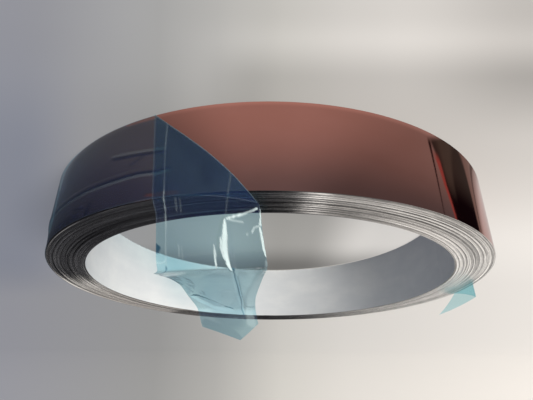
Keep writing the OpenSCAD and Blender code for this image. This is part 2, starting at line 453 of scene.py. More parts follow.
def floor_material():
    material, flow, output = new_material("pale_floor")
    place = flow.object_place()
    x, y = place.axis(0), place.axis(1)
    radius = (x * x + y * y) ** 0.5
    looked_at = flow.camera_ray()
    mirrored = flow.mirror_ray()
    inside = radius.ease(BORE_RADIUS * MM, (BORE_RADIUS - 3) * MM)
    seen = mirrored.blend(floor_colour(flow, x, y, inside), mirrored_colour(flow, x, y, radius))
    lit = flow.node("ShaderNodeBsdfDiffuse", None, {"Color": seen})
    own = flow.node("ShaderNodeEmission", None, {"Color": seen, "Strength": 1.0})
    looked_at = looked_at * (CAMERA_OWN_LIGHT + inside * BORE_OWN_LIGHT)
    own_share = flow.math("MAXIMUM", looked_at, mirrored * MIRROR_OWN_LIGHT)
    surface = flow.mix_shaders(own_share, lit, own)
    return finish_material(material, flow, output, surface)


floor.data.materials.append(floor_material())

# %% [markdown]
# The light is a broad window at one side and a soft sky. What bare metal and film mirror
# is another picture of the room: a bright side, a dark side and a pale ceiling. A photo of
# a room could do this, but a few eased edges are enough for metal that isn't polished.

# %% World and lamps
BRIGHT_SKY = (0.88, 0.87, 0.85, 1)
DIM_SKY = (0.06, 0.082, 0.14, 1)
DARK_ROOM = (0.012, 0.012, 0.014, 1)
RIGHT_ROOM = (0.045, 0.045, 0.05, 1)
BRIGHT_ROOM = (1.8, 1.70, 1.61, 1)
LEFT_ROOM = (0.64, 0.595, 0.55, 1)
CEILING_DARK = (0.055, 0.055, 0.06, 1)
CEILING_BRIGHT = (0.42, 0.41, 0.40, 1)
WINDOW_SIDE = Vector((-0.65, -0.76, 0)).normalized()
SUN_HEIGHT = math.radians(32)
SUN_STRENGTH = 4.6
SUN_SPREAD = math.radians(24)
SUN_COLOUR = (1.0, 0.955, 0.87)


def make_world():
    world = bpy.data.worlds.new("soft_light")
    bpy.context.scene.world = world
    world.use_nodes = True
    world.node_tree.nodes.clear()
    flow = Flow(world.node_tree)
    output = world.node_tree.nodes.new("ShaderNodeOutputWorld")
    way = flow.node("ShaderNodeTexCoord")
    toward = way.axis(0) * WINDOW_SIDE.x + way.axis(1) * WINDOW_SIDE.y
    sky = toward.ease(-0.4, 0.9).blend(DIM_SKY, BRIGHT_SKY)
    room = way.axis(0).ease(-0.20, -0.38).blend(DARK_ROOM, BRIGHT_ROOM)
    room = way.axis(0).ease(-0.39, -0.48).blend(room, LEFT_ROOM)
    room = way.axis(0).ease(0.25, 0.45).blend(room, RIGHT_ROOM)
    ceiling = way.axis(0).ease(0.10, -0.40).blend(CEILING_DARK, CEILING_BRIGHT)
    room = way.axis(2).ease(0.62, 0.88).blend(room, ceiling)
    mirrored = flow.mirror_ray()
    looked_at = flow.camera_ray()
    seen = looked_at.blend(mirrored.blend(sky, room), OUT_OF_PICTURE)
    surface = flow.node("ShaderNodeBackground", None, {"Color": seen, "Strength": 1.0})
    world.node_tree.links.new(surface.socket, output.inputs["Surface"])


def make_sun():
    data = bpy.data.lights.new("window_light", "SUN")
    data.energy = SUN_STRENGTH
    data.angle = SUN_SPREAD
    data.color = SUN_COLOUR
    sun = new_object("window_light", data)
    toward = Vector((WINDOW_SIDE.x, WINDOW_SIDE.y, math.tan(SUN_HEIGHT)))
    sun.matrix_world = toward.to_track_quat("Z", "Y").to_matrix().to_4x4()
    sun.visible_glossy = False
    return sun


make_world()
make_sun()
scene = bpy.context.scene
scene.view_settings.view_transform = "Standard"

# %% [markdown]
# ## The winding
# A wound strip shows one turn after another on its ends, and hand winding leaves some
# turns standing proud of others. The section of the winding is one closed line: the
# bore, the upper ends of the turns with a groove between each two, the outer face, and
# the lower ends. Spinning that line round the axis makes the whole winding in one step.
# A true spiral would need a long sheet that never meets itself, and turns that lie this
# close look the same as rings. No slit edge is quite square, so each turn's end leans a
# little in or out, and each mirrors another part of the room.

# %% Section of the winding
SEGMENTS = 216
GAP = 0.16
WIDE_GAP = 0.40
ROUNDING = 0.12
GROOVE = 1.8


def slip(turn):
    """How far a turn has slipped upward; the first and the last are flush."""
    if turn == 0 or turn == TURNS - 1 or turn % 4 == 1:
        return 0.0
    first = 0.32 * math.sin(math.radians(97 * turn))
    second = 0.18 * math.sin(math.radians(211 * turn + 40))
    return TELESCOPING * (0.5 + first + second)


def gap_after(turn):
    """The turns have opened a little at every fourth one, and the last has no gap."""
    if turn == TURNS - 1:
        return 0.0
    return WIDE_GAP if turn % 4 == 0 else GAP


def end_lean(turn):
    """How much higher the inner corner of an end stands than its middle."""
    first = 0.05 * math.sin(math.radians(71 * turn))
    second = 0.03 * math.sin(math.radians(160 * turn + 30))
    return first + second


def upper_ends():
    """Points along the upper ends, from the bore outward, as (radius, height)."""
    points = []
    for turn in range(TURNS):
        inner = BORE_RADIUS + turn * PITCH
        gap = gap_after(turn)
        outer = inner + PITCH - gap
        top = STRIP_WIDTH + slip(turn)
        lean = end_lean(turn) if 0 < turn < TURNS - 1 else 0
        points.append((inner, top - ROUNDING + lean))
        points.append((inner + ROUNDING, top + lean))
        points.append((outer - ROUNDING, top - lean))
        points.append((outer, top - ROUNDING - lean))
        if gap:
            points.append((outer + gap / 2, STRIP_WIDTH - GROOVE))
    return points


def lower_ends():
    """Points along the lower ends, from the outer face inward."""
    points = [(OUTER_RADIUS, ROUNDING)]
    for turn in reversed(range(TURNS)):
        inner = BORE_RADIUS + turn * PITCH
        points.append((inner + PITCH - ROUNDING, slip(turn)))
        points.append((inner + ROUNDING, slip(turn)))
        if turn:
            points.append((inner, slip(turn) + GROOVE))
    points.append((BORE_RADIUS, ROUNDING))
    return points


section = upper_ends() + lower_ends()
print("section of the winding has", len(section), "points")

# %% [markdown]
# The turns aren't quite round and level, so each one rises and falls a little as it goes
# round. The outer turn begins at the strip's free end. Behind that end the roll is thinner
# by the strip, and the surface runs out to the full radius over half a turn. The two
# columns of vertices at the free end are drawn together, which makes the step as sharp as
# a cut edge.

# %% Spin the winding
END_STEP = 0.0004
SLOW_WANDER = 0.16
QUICK_WANDER = 0.07
FAR_SHARE = 0.12
LOOSE_SIDE = math.radians(45)


def thinner_behind_end(arc):
    """How far the outer face lies inside the full radius at this angle."""
    behind = STRIP_END - arc
    if behind < 0 or behind > math.pi:
        return 0.0
    shift = (STRIP_THICKNESS + RUN_OUT) / 2
    return max(0.0, (STRIP_THICKNESS - RUN_OUT) / 2 + shift * math.cos(behind))


def wander(turn, arc):
    """Small rise and fall of a turn's upper end as it goes round."""
    place = Vector((math.cos(arc), math.sin(arc), 0.37 * turn))
    return SLOW_WANDER * noise.noise(place * 1.3) + QUICK_WANDER * noise.noise(place * 4.1)


def unevenness(arc):
    """How much of its slip a turn keeps here: the far side has been knocked level."""
    return FAR_SHARE + (1 - FAR_SHARE) * (0.5 + 0.5 * math.cos(arc - LOOSE_SIDE))


def shape_vertex(vertex):
    x, y, z = vertex.co / MM
    radius = math.hypot(x, y)
    arc = math.atan2(x, -y) % (2 * math.pi)
    step = 2 * math.pi / SEGMENTS
    off = arc - STRIP_END
    if abs(off) < step:
        arc = STRIP_END + math.copysign(END_STEP, off)
    turn = (radius - BORE_RADIUS) / PITCH
    if 0.9 < turn < TURNS - 1.1 and z > STRIP_WIDTH - GROOVE / 2:
        z = STRIP_WIDTH + (z - STRIP_WIDTH + wander(int(turn + 0.01), arc)) * unevenness(arc)
    if turn > TURNS - 0.3:
        radius -= thinner_behind_end(arc)
    vertex.co = Vector((radius * math.sin(arc), -radius * math.cos(arc), z)) * MM


def spin_winding():
    mesh = bmesh.new()
    ring = [mesh.verts.new(Vector((out, 0, height)) * MM) for out, height in section]
    edges = [mesh.edges.new(pair) for pair in zip(ring, ring[1:] + ring[:1])]
    bmesh.ops.spin(
        mesh, geom=ring + edges, cent=(0, 0, 0), axis=(0, 0, 1), dvec=(0, 0, 0),
        angle=2 * math.pi, steps=SEGMENTS, use_merge=True, use_duplicate=False,
    )
    bmesh.ops.rotate(mesh, verts=mesh.verts, cent=(0, 0, 0),
                     matrix=Matrix.Rotation(STRIP_END + math.pi / SEGMENTS, 3, "Z"))
    for vertex in mesh.verts:
        shape_vertex(vertex)
    bmesh.ops.recalc_face_normals(mesh, faces=mesh.faces)
    return mesh


winding = spin_winding()
print("winding has", len(winding.verts), "vertices and", len(winding.faces), "faces")

# %% [markdown]
# Each face of the strip has its own finish, so the faces are sorted by where they look:
# outward is the coat, inward is the back of the strip, and the rest are slit edges. The
# shading is smooth across the small roundings and stops where the finish changes. Faces
# could be picked by their number, but then a new count of turns would spoil the choice.

# %% Sort the faces and make the object
COAT, EDGES, BACK = 0, 1, 2
SHARP_ANGLE = math.radians(60)
UPRIGHT = 0.3


def sort_face(face):
    middle = face.calc_center_median() / MM
    radius = math.hypot(middle.x, middle.y)
    looks_out = face.normal.x * middle.x + face.normal.y * middle.y > 0
    upright = abs(face.normal.z) < UPRIGHT
    if upright and looks_out and radius > OUTER_RADIUS - STRIP_THICKNESS - 0.1:
        return COAT
    if upright and radius < BORE_RADIUS + 0.05:
        return BACK
    return EDGES


def finish_mesh(mesh, name):
    """Turns a bmesh into an object that is smooth within each finish."""
    for face in mesh.faces:
        face.smooth = True
    for edge in mesh.edges:
        finishes = {face.material_index for face in edge.link_faces}
        edge.smooth = len(finishes) == 1 and edge.calc_face_angle(0.0) < SHARP_ANGLE
    data = bpy.data.meshes.new(name)
    mesh.to_mesh(data)
    mesh.free()
    return new_object(name, data)


winding.normal_update()
for face in winding.faces:
    face.material_index = sort_face(face)
coil = finish_mesh(winding, "wound_strip")
finishes = [face.material_index for face in coil.data.polygons]
print("coil faces by finish:", [finishes.count(finish) for finish in (COAT, EDGES, BACK)])

# %% [markdown]
# ### Finishes of the strip
# The coat is a clear tinted lacquer on polished metal, so it mirrors the floor in its own
# colour. A dielectric coat over a dark base would mirror it in white, so the coat is a
# metal with that colour. Its grain runs along the strip, and so the pattern is laid out
# over angle and height.

# %% Coat
COAT_DEEP = (0.59, 0.262, 0.217, 1)
COAT_PALE = (0.61, 0.276, 0.232, 1)
LACQUER_WEIGHT = 0.1
LACQUER_ROUGHNESS = 0.06


def polar(flow):
    """Angle round the bore axis in turns, radius and height, as three Flows."""
    place = flow.object_place()
    x, y, height = place.axis(0), place.axis(1), place.axis(2)
    radius = (x * x + y * y) ** 0.5
    angle = flow.math("ARCTAN2", y, x) / (2 * math.pi)
    return angle, radius, height


def coat_material():
    material, flow, output = new_material("rose_brown_coat")
    angle, radius, height = polar(flow)
    along = flow.combine(angle * 9, radius, height * 14)
    grain = flow.noise(along, 3.0, 3.0, 0.55)
    lines = flow.noise(flow.combine(angle * 3, 0.0, height * 900), 1.0, 2.0)
    colour = grain.ease(0.35, 0.7).blend(COAT_DEEP, COAT_PALE)
    polish = 0.035 + grain * 0.04 + lines.ease(0.5, 0.9) * 0.03
    bump = flow.bump(grain, 0.04, 0.2 * MM)
    lacquer = {"Coat Weight": LACQUER_WEIGHT, "Coat Roughness": LACQUER_ROUGHNESS}
    surface = flow.metal(colour, polish, bump, lacquer)
    return finish_material(material, flow, output, surface)


coil.data.materials.append(coat_material())

# %% [markdown]
# The slit edges are bare metal that the slitting knives have rubbed, and they differ from
# One number for each turn gives it a tone of its own, and a broad noise joins neighbours
# into bright and dark groups. The grooves between the turns are darkened with depth as
# painted shade, because real grooves alone would be too narrow to darken in a small picture.

# %% Slit edges
GROOVE_SHADE = (0.02, 0.02, 0.022, 1)
RUBBED_DARK = (0.12, 0.12, 0.12, 1)
RUBBED_BRIGHT = (1.0, 0.99, 0.98, 1)


def edge_material():
    material, flow, output = new_material("slit_edges")
    angle, radius, height = polar(flow)
    turn = flow.math("FLOOR", (radius - BORE_RADIUS * MM) / (PITCH * MM))
    own = flow.node("ShaderNodeTexWhiteNoise", {"noise_dimensions": "1D"}, {"W": turn})
    streaks = flow.noise(flow.combine(angle * 40, turn * 3.7, 0.0), 2.0, 4.0, 0.6)
    scratches = flow.noise(flow.combine(angle * 900, radius * 6000, 0.0), 1.0, 2.0)
    # Painted shade that deepens down into the grooves between the turns.
    out_of_groove_shade = height.ease((STRIP_WIDTH - 1.0) * MM, (STRIP_WIDTH + 0.1) * MM)
    place = flow.object_place()
    broad = flow.combine(place.axis(0) * 5, place.axis(1) * 5, turn * 0.6)
    groups = flow.noise(broad, 1.0, 1.0, 0.4)
    bright = streaks.ease(0.3, 0.75) * 0.20 + own * 0.35 + groups.ease(0.38, 0.60) * 0.45
    metal = bright.blend(RUBBED_DARK, RUBBED_BRIGHT)
    colour = out_of_groove_shade.blend(GROOVE_SHADE, metal)
    rough = 0.11 + scratches * 0.08 + own * 0.07
    bump = flow.bump(scratches * 0.6 + streaks * 0.4, 0.2, 0.1 * MM)
    surface = flow.metal(colour, rough, bump)
    return finish_material(material, flow, output, surface)


coil.data.materials.append(edge_material())

# %% [markdown]
# The back of the strip has a thin grey-white wash over the rolled metal. It is dull, so it
# has only a little metal in it, and faint smears run along the strip.

# %% Back of the strip
WASH_DULL = (0.54, 0.565, 0.60, 1)
WASH_PALE = (0.60, 0.62, 0.645, 1)
WASH_METAL = 0.2


def back_material():
    material, flow, output = new_material("washed_back")
    angle, _, height = polar(flow)
    rolled = flow.noise(flow.combine(angle * 30, 0.0, height * 260), 1.0, 3.0, 0.6)
    smears = flow.noise(flow.combine(angle * 22, 0.0, height * 40), 1.0, 4.0, 0.6)
    colour = smears.ease(0.35, 0.7).blend(WASH_DULL, WASH_PALE)
    rough = 0.50 + rolled * 0.10
    bump = flow.bump(smears, 0.08, 0.2 * MM)
    surface = flow.metal(colour, rough, bump, {"Metallic": WASH_METAL})
    return finish_material(material, flow, output, surface)


coil.data.materials.append(back_material())
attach(coil, "root")
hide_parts("strip_coil")

# %% [markdown]
# ## The protective film
# The film is one long sheet, almost as wide as the strip. Its pointed end is folded back
# over it at the left. From that fold it runs round the back of the roll, turns over on
# itself along a slanting line, stands up over the rim, falls across the bore and turns up
# again at its tip. Cloth simulation could lay it down, but every fold of this sheet is
# known, so it is cut flat as a grid and then folded by formulas, as the real one was.

# %% Sizes of the film
FILM_INSET = 0.3
FILM_CLEARANCE = 0.15
FILM_SOLID = 0.4
FILM_WIDTH = STRIP_WIDTH - 2 * FILM_INSET
PEEL_ARC = math.radians(12) * OUTER_RADIUS
FOLD_RISE = 9
FOLD_SAG = 5
FILM_END = math.radians(268) * OUTER_RADIUS
LOOSE_END = 40
LOOSE_OUT = 4
LOOSE_CLIMB = 12
POINT_LENGTH = 74
POINT_RISE = 6
POINT_STUB = 5
CREST = 45
FLAP_SPAN = 285
FLAP_DIP = 18
TIP_HEIGHT = 34
FLAP_DRIFT = 14
TIP_OFFSET = 7
EDGE_LIFT = 6
LONG_CUT = 0.38
SHORT_CUT = 0.75
WRAP_RADIUS = OUTER_RADIUS + FILM_CLEARANCE + FILM_SOLID / 2
FLAP_RADIUS = WRAP_RADIUS + 2 * FILM_SOLID


def outward(arc):
    angle = arc / OUTER_RADIUS
    return Vector((math.sin(angle), -math.cos(angle), 0))


def along(arc):
    angle = arc / OUTER_RADIUS
    return Vector((math.cos(angle), math.sin(angle), 0))


def on_roll(radius, arc, height):
    return radius * outward(arc) + Vector((0, 0, height))


def smooth(x):
    t = min(1, max(0, x))
    return t * t * (3 - 2 * t)


def fibre_height(share):
    return FILM_INSET + FILM_WIDTH * share


def fold_height(share):
    return fibre_height(share) + FOLD_RISE * share


def fold_sag(share):
    """The peel fold isn't quite straight: it hangs back a little in its middle."""
    return FOLD_SAG * math.sin(math.pi * share**1.3)


def fold_arc(share):
    return PEEL_ARC + fold_height(0.5) - fold_height(share) - fold_sag(share)


RIM_ARC = fold_arc(1) + FILM_WIDTH / 2
print("film is", round(FILM_WIDTH, 1), "mm wide")

# %% [markdown]
# ### Course of the stuck part
# Four stretches follow one another: the point that is folded back, the loose end that
# stands off the roll, the long stretch that still sticks, and the fold where the peel
# began. The two folds are half circles, because a knife-sharp fold would have no room for
# the sheet. At the right the film has a blister, so a band of it shows beside the metal.

# %% Course of the stuck part
BLISTER_OUT = 1.8
BLISTER_START = math.radians(42)
BLISTER_FULL = math.radians(62)
BLISTER_END = math.radians(100)
BLISTER_TOP = 66
BLISTER_FADE = 28
print("the blister stands off by", BLISTER_OUT, "mm")


def film_seat(arc):
    return WRAP_RADIUS - thinner_behind_end(arc / OUTER_RADIUS)


def blister(arc, height):
    """How far the film stands off, most at half height and not at all near the rim."""
    angle = arc / OUTER_RADIUS
    rise = smooth((angle - BLISTER_START) / (BLISTER_FULL - BLISTER_START))
    fall = smooth((BLISTER_END - angle) / (BLISTER_END - BLISTER_FULL))
    return BLISTER_OUT * rise * fall * smooth((BLISTER_TOP - height) / BLISTER_FADE)


def corner_climb(share):
    return LOOSE_CLIMB * share**3


def point_reach(share):
    return max(POINT_STUB, POINT_LENGTH * share**3.5)


def point_place(progress, share):
    back = point_reach(share) * (1 - progress)
    radius = film_seat(FILM_END - back) + LOOSE_OUT * share + 2 * FILM_SOLID
    height = fibre_height(share) + corner_climb(share) + POINT_RISE * back / POINT_LENGTH
    return on_roll(radius, FILM_END - back, height)


def end_fold_place(progress, share):
    radius = film_seat(FILM_END) + LOOSE_OUT * share + FILM_SOLID
    middle = on_roll(radius, FILM_END, fibre_height(share) + corner_climb(share))
    angle = math.pi * progress
    way_round = math.cos(angle) * outward(FILM_END) + math.sin(angle) * along(FILM_END)
    return middle + FILM_SOLID * way_round


def stuck_place(arc, share):
    near_fold = max(0, 1 - (arc - fold_arc(share)) / STRIP_WIDTH) ** 2
    loose = max(0, 1 - (FILM_END - arc) / LOOSE_END)
    height = fibre_height(share) + FOLD_RISE * share * near_fold
    height += corner_climb(share) * loose**1.5
    radius = film_seat(arc) + blister(arc, height) + LOOSE_OUT * smooth(loose) * share
    return on_roll(radius, arc, height)


def stuck_arc(progress, share):
    """The rows lie closer together towards the peel fold, where the sheet is creased."""
    start = FILM_END - LOOSE_END
    return fold_arc(share) + (start - fold_arc(share)) * (1 - progress) ** 1.7


def peel_fold_place(progress, share):
    angle = math.pi * progress
    arc = fold_arc(share)
    toward = (along(arc) + Vector((0, 0, 1))) / math.sqrt(2)
    middle = on_roll(WRAP_RADIUS + FILM_SOLID, arc, fold_height(share))
    return middle - FILM_SOLID * (math.sin(angle) * toward + math.cos(angle) * outward(arc))


# %% [markdown]
# ### Course of the flap
# The flap hangs in the air, so it follows a middle line instead of the roll. The line is a
# smooth curve through a few points, each given as sideways, inward and up from the rim.
# The other fibres of the sheet lie beside it, and near the rim they still bend with the
# roll.

# %% Course of the flap
SAG_RUN = 25
FLAP_HEADING = math.radians(-3)
LIFT_WIDTH = 0.4
LIFT_START = 46
LIFT_RISE = 22
LIFT_END = 190
LIFT_FALL = 110
LIFT_UP = 0.35
DROP = FLAP_DIP - CREST
MIDDLE_LINE = [
    (1.5, -6, -14),
    (0, 0, 0),
    (-2, 5, CREST * 0.25),
    (-4, 8, CREST * 0.6),
    (-6, 9, CREST * 0.88),
    (-7, 12, CREST),
    (-6.6, 20, CREST * 0.985),
    (-5.5, 40, CREST + DROP * 0.22),
    (FLAP_DRIFT * 0.1 - 3, FLAP_SPAN * 0.33, CREST + DROP * 0.57),
    (FLAP_DRIFT * 0.42, FLAP_SPAN * 0.66, CREST + DROP * 0.88),
    (FLAP_DRIFT * 0.6, FLAP_SPAN * 0.9, CREST + DROP),
    (FLAP_DRIFT * 0.6, FLAP_SPAN * 0.985, FLAP_DIP + TIP_HEIGHT * 0.06),
    (FLAP_DRIFT * 0.4, FLAP_SPAN * 1.01, FLAP_DIP + TIP_HEIGHT * 0.4),
    (FLAP_DRIFT * 0.1, FLAP_SPAN * 1.012, FLAP_DIP + TIP_HEIGHT * 0.72),
    (-1, FLAP_SPAN * 1.01, FLAP_DIP + TIP_HEIGHT),
    (-2, FLAP_SPAN, FLAP_DIP + TIP_HEIGHT * 1.3),
]
STEPS = 8


def curve(points, index, t):
    """A point of the smooth curve that passes through the list's inner points."""
    a, b, c, d = (Vector(p) for p in points[index:index + 4])
    cubic = 3 * b - a - 3 * c + d
    return (2 * b + (c - a) * t + (2 * a - 5 * b + 4 * c - d) * t * t + cubic * t**3) / 2


def walk(points):
    """The curve as a list of points with the length run so far."""
    spans = len(points) - 3
    places = [curve(points, i, j / STEPS) for i in range(spans) for j in range(STEPS)]
    places.append(curve(points, spans - 1, 1.0))
    lengths = [0.0]
    for near, far in zip(places, places[1:]):
        lengths.append(lengths[-1] + (far - near).length)
    return places, lengths


TRACK, TRACK_LENGTHS = walk(MIDDLE_LINE)
FLAP_LENGTH = STRIP_WIDTH + TRACK_LENGTHS[-1]


def track_at(run):
    """The middle line after this length, by steps of the walk."""
    if run <= 0:
        return TRACK[0]
    low = 0
    high = len(TRACK) - 1
    while high - low > 1:
        middle = (low + high) // 2
        if TRACK_LENGTHS[middle] <= run:
            low = middle
        else:
            high = middle
    share = (run - TRACK_LENGTHS[low]) / (TRACK_LENGTHS[high] - TRACK_LENGTHS[low])
    return TRACK[low].lerp(TRACK[high], min(1, share))


LEAN = FOLD_RISE / (FILM_WIDTH + FOLD_RISE)


def side_of_middle(share):
    return FILM_WIDTH * (0.5 - share)


def flap_end(share):
    offset = side_of_middle(share) + TIP_OFFSET
    return FLAP_LENGTH - (LONG_CUT * offset if offset > 0 else -SHORT_CUT * offset)


def flap_arc(reach, share):
    """The fibres start at the fold, and its sag is lost over their first stretch."""
    rise = max(0, fold_height(1) - max(reach, fold_height(share)))
    sag = fold_sag(share) * (1 - smooth((reach - fold_height(share)) / SAG_RUN))
    return RIM_ARC + side_of_middle(share) + LEAN * rise - sag


def flap_turn(free):
    start = RIM_ARC / OUTER_RADIUS
    return start + (FLAP_HEADING - start) * smooth(free / (4 * CREST))


def edge_lift(free, share):
    """Past the crest the flap's right edge stands out, and then falls in with the rest."""
    at_edge = smooth(1 - share / LIFT_WIDTH)
    rise = smooth((free - LIFT_START) / LIFT_RISE)
    fall = smooth((LIFT_END - free) / LIFT_FALL)
    lift = EDGE_LIFT * at_edge * rise * fall
    return Vector((lift, 0, lift * LIFT_UP))


def flap_place(reach, share):
    """Reach is the height that the fibre has climbed, counted on past the rim."""
    free = max(0, reach - STRIP_WIDTH)
    arc = flap_arc(reach, share)
    turn = flap_turn(free)
    across = Vector((math.cos(turn), math.sin(turn), 0))
    curved = on_roll(FLAP_RADIUS, arc, min(reach, STRIP_WIDTH))
    flat = on_roll(FLAP_RADIUS, RIM_ARC, STRIP_WIDTH) + (arc - RIM_ARC) * across
    return curved.lerp(flat, smooth(free / CREST)) + track_at(free) + edge_lift(free, share)


print("flap is", round(FLAP_LENGTH, 1), "mm long from the lower edge of the strip")

# %% [markdown]
# ### Creases
# A peeled film keeps every crease. Each crease is a line through a few places on the
# sheet, and at each place it has a half width. On the flap a place is the share of the
# width and the free length past the rim. On the stuck part it is the angle round the roll
# and the height. The white lines are partly plastic gone white where a crease is sharp and
# partly painted highlights and sheen, and the dark lines are painted shade along creases
# and where the sheet stands on edge. At a bare place the film is torn, and the coat shows.
# All this could be painted on an image, but as lines on the flat sheet it stays with the
# sheet when a size changes.

# %% Creases, painted highlights and painted shade of the flap
# Plastic gone white at sharp creases, and painted highlights where the flap's ridges face the
# light.
WHITE_CREASES_AND_HIGHLIGHTS = [
    (0.07, [(0.14, -60, 0.5), (0.13, -4, 0.5)]),
    (0.20, [(0.13, -4, 0.5), (0.105, 12, 0.5), (0.10, 28, 0.5)]),
    (0.15, [(0.10, 28, 0.5), (0.09, 47, 0.5)]),
    (0.05, [(0.72, -45, 0.5), (0.72, 4, 0.5), (0.67, 18, 0.5)]),
    (0.75, [(0.55, 34, 0.5), (0.55, 40, 0.8), (0.545, 46, 0.6), (0.54, 51, 0.4)]),
    (0.95, [(0.675, 18, 0.5), (0.67, 22, 1.2), (0.665, 28, 1.9), (0.655, 33, 2), (0.65, 38, 2)]),
    (0.95, [(0.65, 37, 1.7), (0.655, 42, 1.6), (0.665, 46, 1.1), (0.685, 50, 0.6)]),
    (0.80, [(0.625, 30, 0.7), (0.615, 36, 0.9), (0.635, 43, 0.6)]),
    (0.85, [(0.645, 45, 0.5), (0.675, 49, 0.6), (0.69, 52, 0.5)]),
    (0.80, [(1.0, 13, 0.4), (0.995, 17, 0.6), (0.985, 22.5, 1.0)]),
    (0.95, [(0.98, 24.5, 0.7), (0.985, 28, 0.8), (0.99, 33, 1.1), (0.99, 38, 0.9), (1, 43, 0.5)]),
    (0.90, [(0.965, 12, 0.6), (0.83, 15.6, 0.8), (0.69, 17.6, 0.7)]),
    (0.50, [(0.70, 18.2, 0.5), (0.76, 19.2, 0.5), (0.83, 20.4, 0.5)]),
    (0.70, [(0.965, 23.5, 0.5), (0.93, 24.3, 0.55), (0.905, 27.2, 0.55)]),
    (0.35, [(0.865, 28, 0.5), (0.855, 28.6, 0.5)]),
    (0.06, [(0.24, 2, 0.8), (0.22, 10, 0.8)]),
    (0.06, [(0.28, 3, 0.6), (0.26, 11, 0.6)]),
    (0.10, [(0.25, 34, 0.6), (0.25, 42, 0.6)]),
    (0.10, [(0.22, 33, 0.6), (0.22, 40, 0.6)]),
    (0.32, [(0.0, 43.6, 0.5), (0.04, 44.2, 0.5), (0.10, 42.6, 0.5)]),
    (0.30, [(0.69, 52, 0.5), (0.688, 75, 0.5), (0.685, 92, 0.4)]),
]
# Painted sheen on broad facets of the flap that face the light.
SHEEN_FACETS = [
    (0.20, [(1.0, 46, 1.5), (0.97, 97, 4.5), (0.96, 170, 7), (0.92, 243, 10), (0.88, 290, 10),
            (0.86, 315, 5)]),
    (0.16, [(0.88, 318, 6), (0.88, 334, 7)]),
    (0.10, [(0.45, 300, 6), (0.62, 262, 9), (0.60, 200, 8)]),
]
# Painted shade along creases, where the sheet stands on edge, and over broad bands of the flap.
DARK_CREASES_AND_SHADE = [
    (0.85, [(0.09, 46, 0.5), (0.05, 72, 0.8), (0.015, 97, 1.1), (0.005, 133, 1.1),
            (0.01, 155, 0.9), (0.04, 170, 0.7)]),
    (0.85, [(0.68, 60, 0.5), (0.68, 97, 0.6), (0.69, 133, 0.7), (0.74, 191, 0.8),
            (0.78, 262, 0.8), (0.76, 315, 0.7), (0.79, 330, 0.6)]),
    (0.40, [(0.72, 120, 0.8), (0.77, 191, 0.9), (0.81, 240, 0.8)]),
    (0.30, [(0.10, 240, 3), (0.23, 273, 5), (0.38, 305, 5), (0.56, 315, 3)]),
    (1.00, [(0.0, 31.5, 1.2), (0.02, 34.0, 2.3), (0.015, 36.5, 1.3)]),
    (0.22, [(0.10, 336, 7), (0.45, 345, 9), (0.60, 354, 4)]),
    (0.22, [(0.50, 105, 4), (0.48, 140, 22), (0.45, 200, 26), (0.50, 290, 28), (0.52, 325, 22)]),
    (0.16, [(0.20, -58, 6), (0.45, -35, 12), (0.62, -16, 7)]),
    (0.20, [(0.35, -52, 3), (0.50, -30, 5), (0.55, -8, 4)]),
]
BARE_PLACES = [
    (0.75, [(15.5, 66.5, 1.6), (18.5, 67.0, 2.2), (21.5, 66.0, 1.2)]),
    (0.55, [(19.5, 1.4, 1.0), (24, 1.8, 1.6), (29, 1.4, 0.8)]),
]
FLAP_RELIEF = [
    (0.2, [(0.13, -60, 1.6), (0.105, 12, 1.6), (0.09, 47, 1.6), (0.015, 97, 2.0)]),
    (1.8, [(0.67, 18, 1.5), (0.655, 30, 5), (0.65, 40, 5), (0.69, 51, 2)]),
    (-0.8, [(0.68, 60, 1.5), (0.69, 133, 2.5), (0.74, 191, 3), (0.78, 262, 3), (0.79, 330, 2)]),
    (-2.0, [(0.10, 240, 5), (0.23, 273, 9), (0.38, 305, 9), (0.56, 315, 5)]),
    (1.6, [(1.02, 60, 5), (0.98, 170, 8), (0.95, 243, 9), (0.92, 290, 7)]),
    (0.8, [(0.97, 12, 2), (0.69, 17.6, 2)]),
]
print("lines on the flap:", len(WHITE_CREASES_AND_HIGHLIGHTS + SHEEN_FACETS + DARK_CREASES_AND_SHADE + FLAP_RELIEF))

# %% [markdown]
# The edge that falls into the bore is crumpled into many short wrinkles, which are painted
# as shade and highlights. They are too many to place by hand, so two steps that never fall
# into a pattern spread them over the edge.

# %% Small wrinkles
WRINKLES = 54
FIRST_STEP = 0.618
SECOND_STEP = 0.755
WRINKLE_START = 84
WRINKLE_RUN = 140
WRINKLE_REACH = 0.26
SHORTEST = 4
LENGTH_RANGE = 12


def small_wrinkles():
    """Painted shade and highlights of short slanting wrinkles where the flap falls into the bore.
    """
    dark, white = [], []
    for k in range(WRINKLES):
        step = k * FIRST_STEP % 1
        free = WRINKLE_START + WRINKLE_RUN * step
        share = 0.01 + WRINKLE_REACH * (0.35 + 0.65 * step) * (k * SECOND_STEP % 1)
        length = SHORTEST + LENGTH_RANGE * (k * SECOND_STEP * 3 % 1)
        line = [(share, free, 0.5), (share + 0.02 + 0.001 * length, free + length, 0.7)]
        if k % 3:
            dark.append((0.75, line))
        else:
            white.append((0.35, line))
    return dark, white


wrinkle_shades, wrinkle_highlights = small_wrinkles()
print("wrinkles:", len(wrinkle_shades), "dark and", len(wrinkle_highlights), "white")

# %% Creases, painted highlights and painted shade of the stuck part
LONG_RIDGE = [(17.5, 46.8), (20, 48.4), (24, 47.4), (30, 47.6), (37, 47.1), (53, 46.8),
              (75, 47.5)]
SHORT_RIDGE = [(31.1, 28.5), (27.3, 30.3), (23.1, 31.6), (18.9, 32.3)]


def ridge(points, shift, half_width):
    return [(angle, height + shift, half_width) for angle, height in points]


